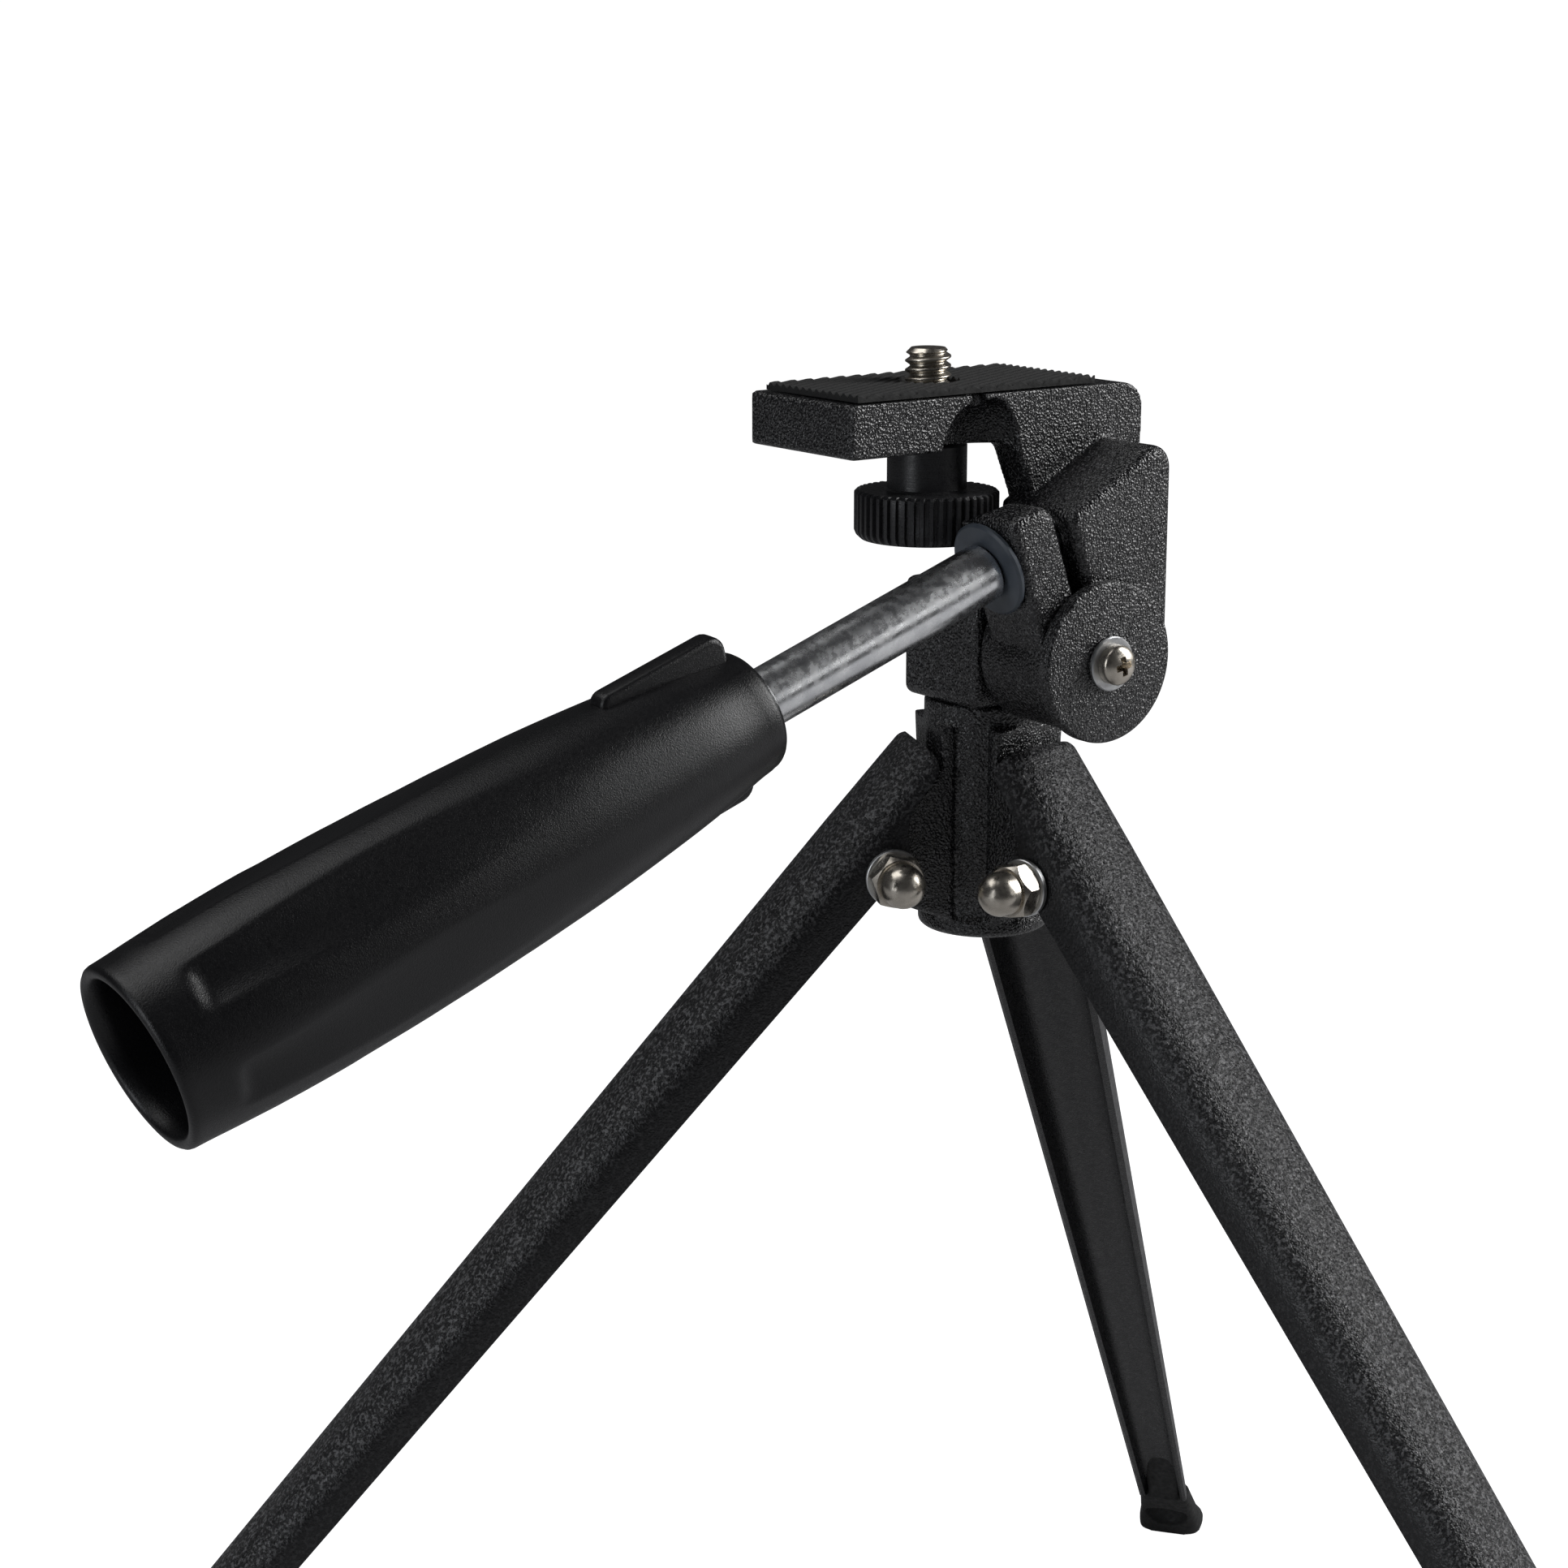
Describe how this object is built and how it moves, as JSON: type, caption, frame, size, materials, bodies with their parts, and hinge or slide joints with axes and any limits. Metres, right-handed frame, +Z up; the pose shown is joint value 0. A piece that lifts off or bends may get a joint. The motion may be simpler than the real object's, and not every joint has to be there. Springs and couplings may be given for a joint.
{
  "type": "tabletop tripod",
  "caption": "Black tabletop tripod: pressed channel legs hinged on a cast hub, a pan and tilt head with a ribbed platform and a captive camera screw, and a hollow twist handle.",
  "frame": {"origin": "on the ground that the three feet stand on, under the middle of the object's bounding box; the pan axis stands 12.3 mm towards +X and 36.6 mm towards +Y of it", "axes": "+Z is up along the pan axis; the tilt axis is along Y; the handle points towards -X and dips"},
  "size_m": [0.3577, 0.3331, 0.276],
  "materials": {
    "black_wrinkle_coat": "coarse sparkling black wrinkle powder coat",
    "black_leg_coat": "black powder coat, wrinkled on the rounded back and smoother on the flanges",
    "grip_plastic": "satin black moulded plastic with a fine grain",
    "knob_plastic": "black moulded plastic with fine lathe marks",
    "rubber": "matte black rubber",
    "nickel": "warm nickel plate",
    "chrome": "bright chrome plate",
    "zinc": "bright zinc plate",
    "nylon": "translucent bluish nylon",
    "spring_steel": "plain spring steel"
  },
  "bodies": {
    "hub": {"hub_casting": "black_wrinkle_coat", "pan_spring_washer": "spring_steel", "hinge_bolt_back": "nickel", "dome_nut_back": "nickel", "nut_washer_back": "zinc", "bolt_washer_back": "zinc", "hinge_bolt_left": "nickel", "dome_nut_left": "nickel", "nut_washer_left": "zinc", "bolt_washer_left": "zinc", "hinge_bolt_right": "nickel", "dome_nut_right": "nickel", "nut_washer_right": "zinc", "bolt_washer_right": "zinc"},
    "leg_back_swing": {"leg_back": "black_leg_coat", "foot_back": "rubber"},
    "leg_left_swing": {"leg_left": "black_leg_coat", "foot_left": "rubber"},
    "leg_right_swing": {"leg_right": "black_leg_coat", "foot_right": "rubber"},
    "pan_base": {"pan_block": "black_wrinkle_coat", "pan_bolt": "zinc", "pan_washer": "zinc", "tilt_end_cap": "black_wrinkle_coat", "tilt_screw": "nickel", "tilt_screw_washer": "zinc"},
    "tilt_head": {"tilt_casting": "black_wrinkle_coat", "platform_pad": "rubber"},
    "handle": {"handle_rod": "chrome", "handle_washer": "nylon", "handle_grip": "grip_plastic"},
    "screw_wheel": {"camera_screw": "nickel", "thumb_wheel": "knob_plastic", "screw_clip": "spring_steel"}
  },
  "joints": [
    {"name": "leg_back_fold", "type": "hinge", "parent": "hub", "child": "leg_back_swing", "pos_m": [0.02534, 0.04818, 0.2029], "axis": [-0.6052, 0.7961, 0], "range_deg": [0, 41.4]},
    {"name": "leg_left_fold", "type": "hinge", "parent": "hub", "child": "leg_left_swing", "pos_m": [-0.00215, 0.04469, 0.2029], "axis": [-0.3869, -0.9221, 0], "range_deg": [0, 41.4]},
    {"name": "leg_right_fold", "type": "hinge", "parent": "hub", "child": "leg_right_swing", "pos_m": [0.01462, 0.02263, 0.2029], "axis": [0.992, 0.126, 0], "range_deg": [0, 41.4]},
    {"name": "pan_turn", "type": "hinge", "parent": "hub", "child": "pan_base", "pos_m": [0.0126, 0.0385, 0.2263], "axis": [0, 0, 1], "continuous": true},
    {"name": "head_tilt", "type": "hinge", "parent": "pan_base", "child": "tilt_head", "pos_m": [0.0136, 0.0385, 0.2347], "axis": [0, 1, 0], "range_deg": [-28, 55]},
    {"name": "handle_twist", "type": "hinge", "parent": "tilt_head", "child": "handle", "pos_m": [0.00794, 0.0225, 0.25094], "axis": [-0.9444, 0, -0.3289], "range_deg": [0, 360]},
    {"name": "camera_screw_spin", "type": "hinge", "parent": "tilt_head", "child": "screw_wheel", "pos_m": [0.0013, 0.0385, 0.2705], "axis": [0, 0, 1], "continuous": true}
  ]
}
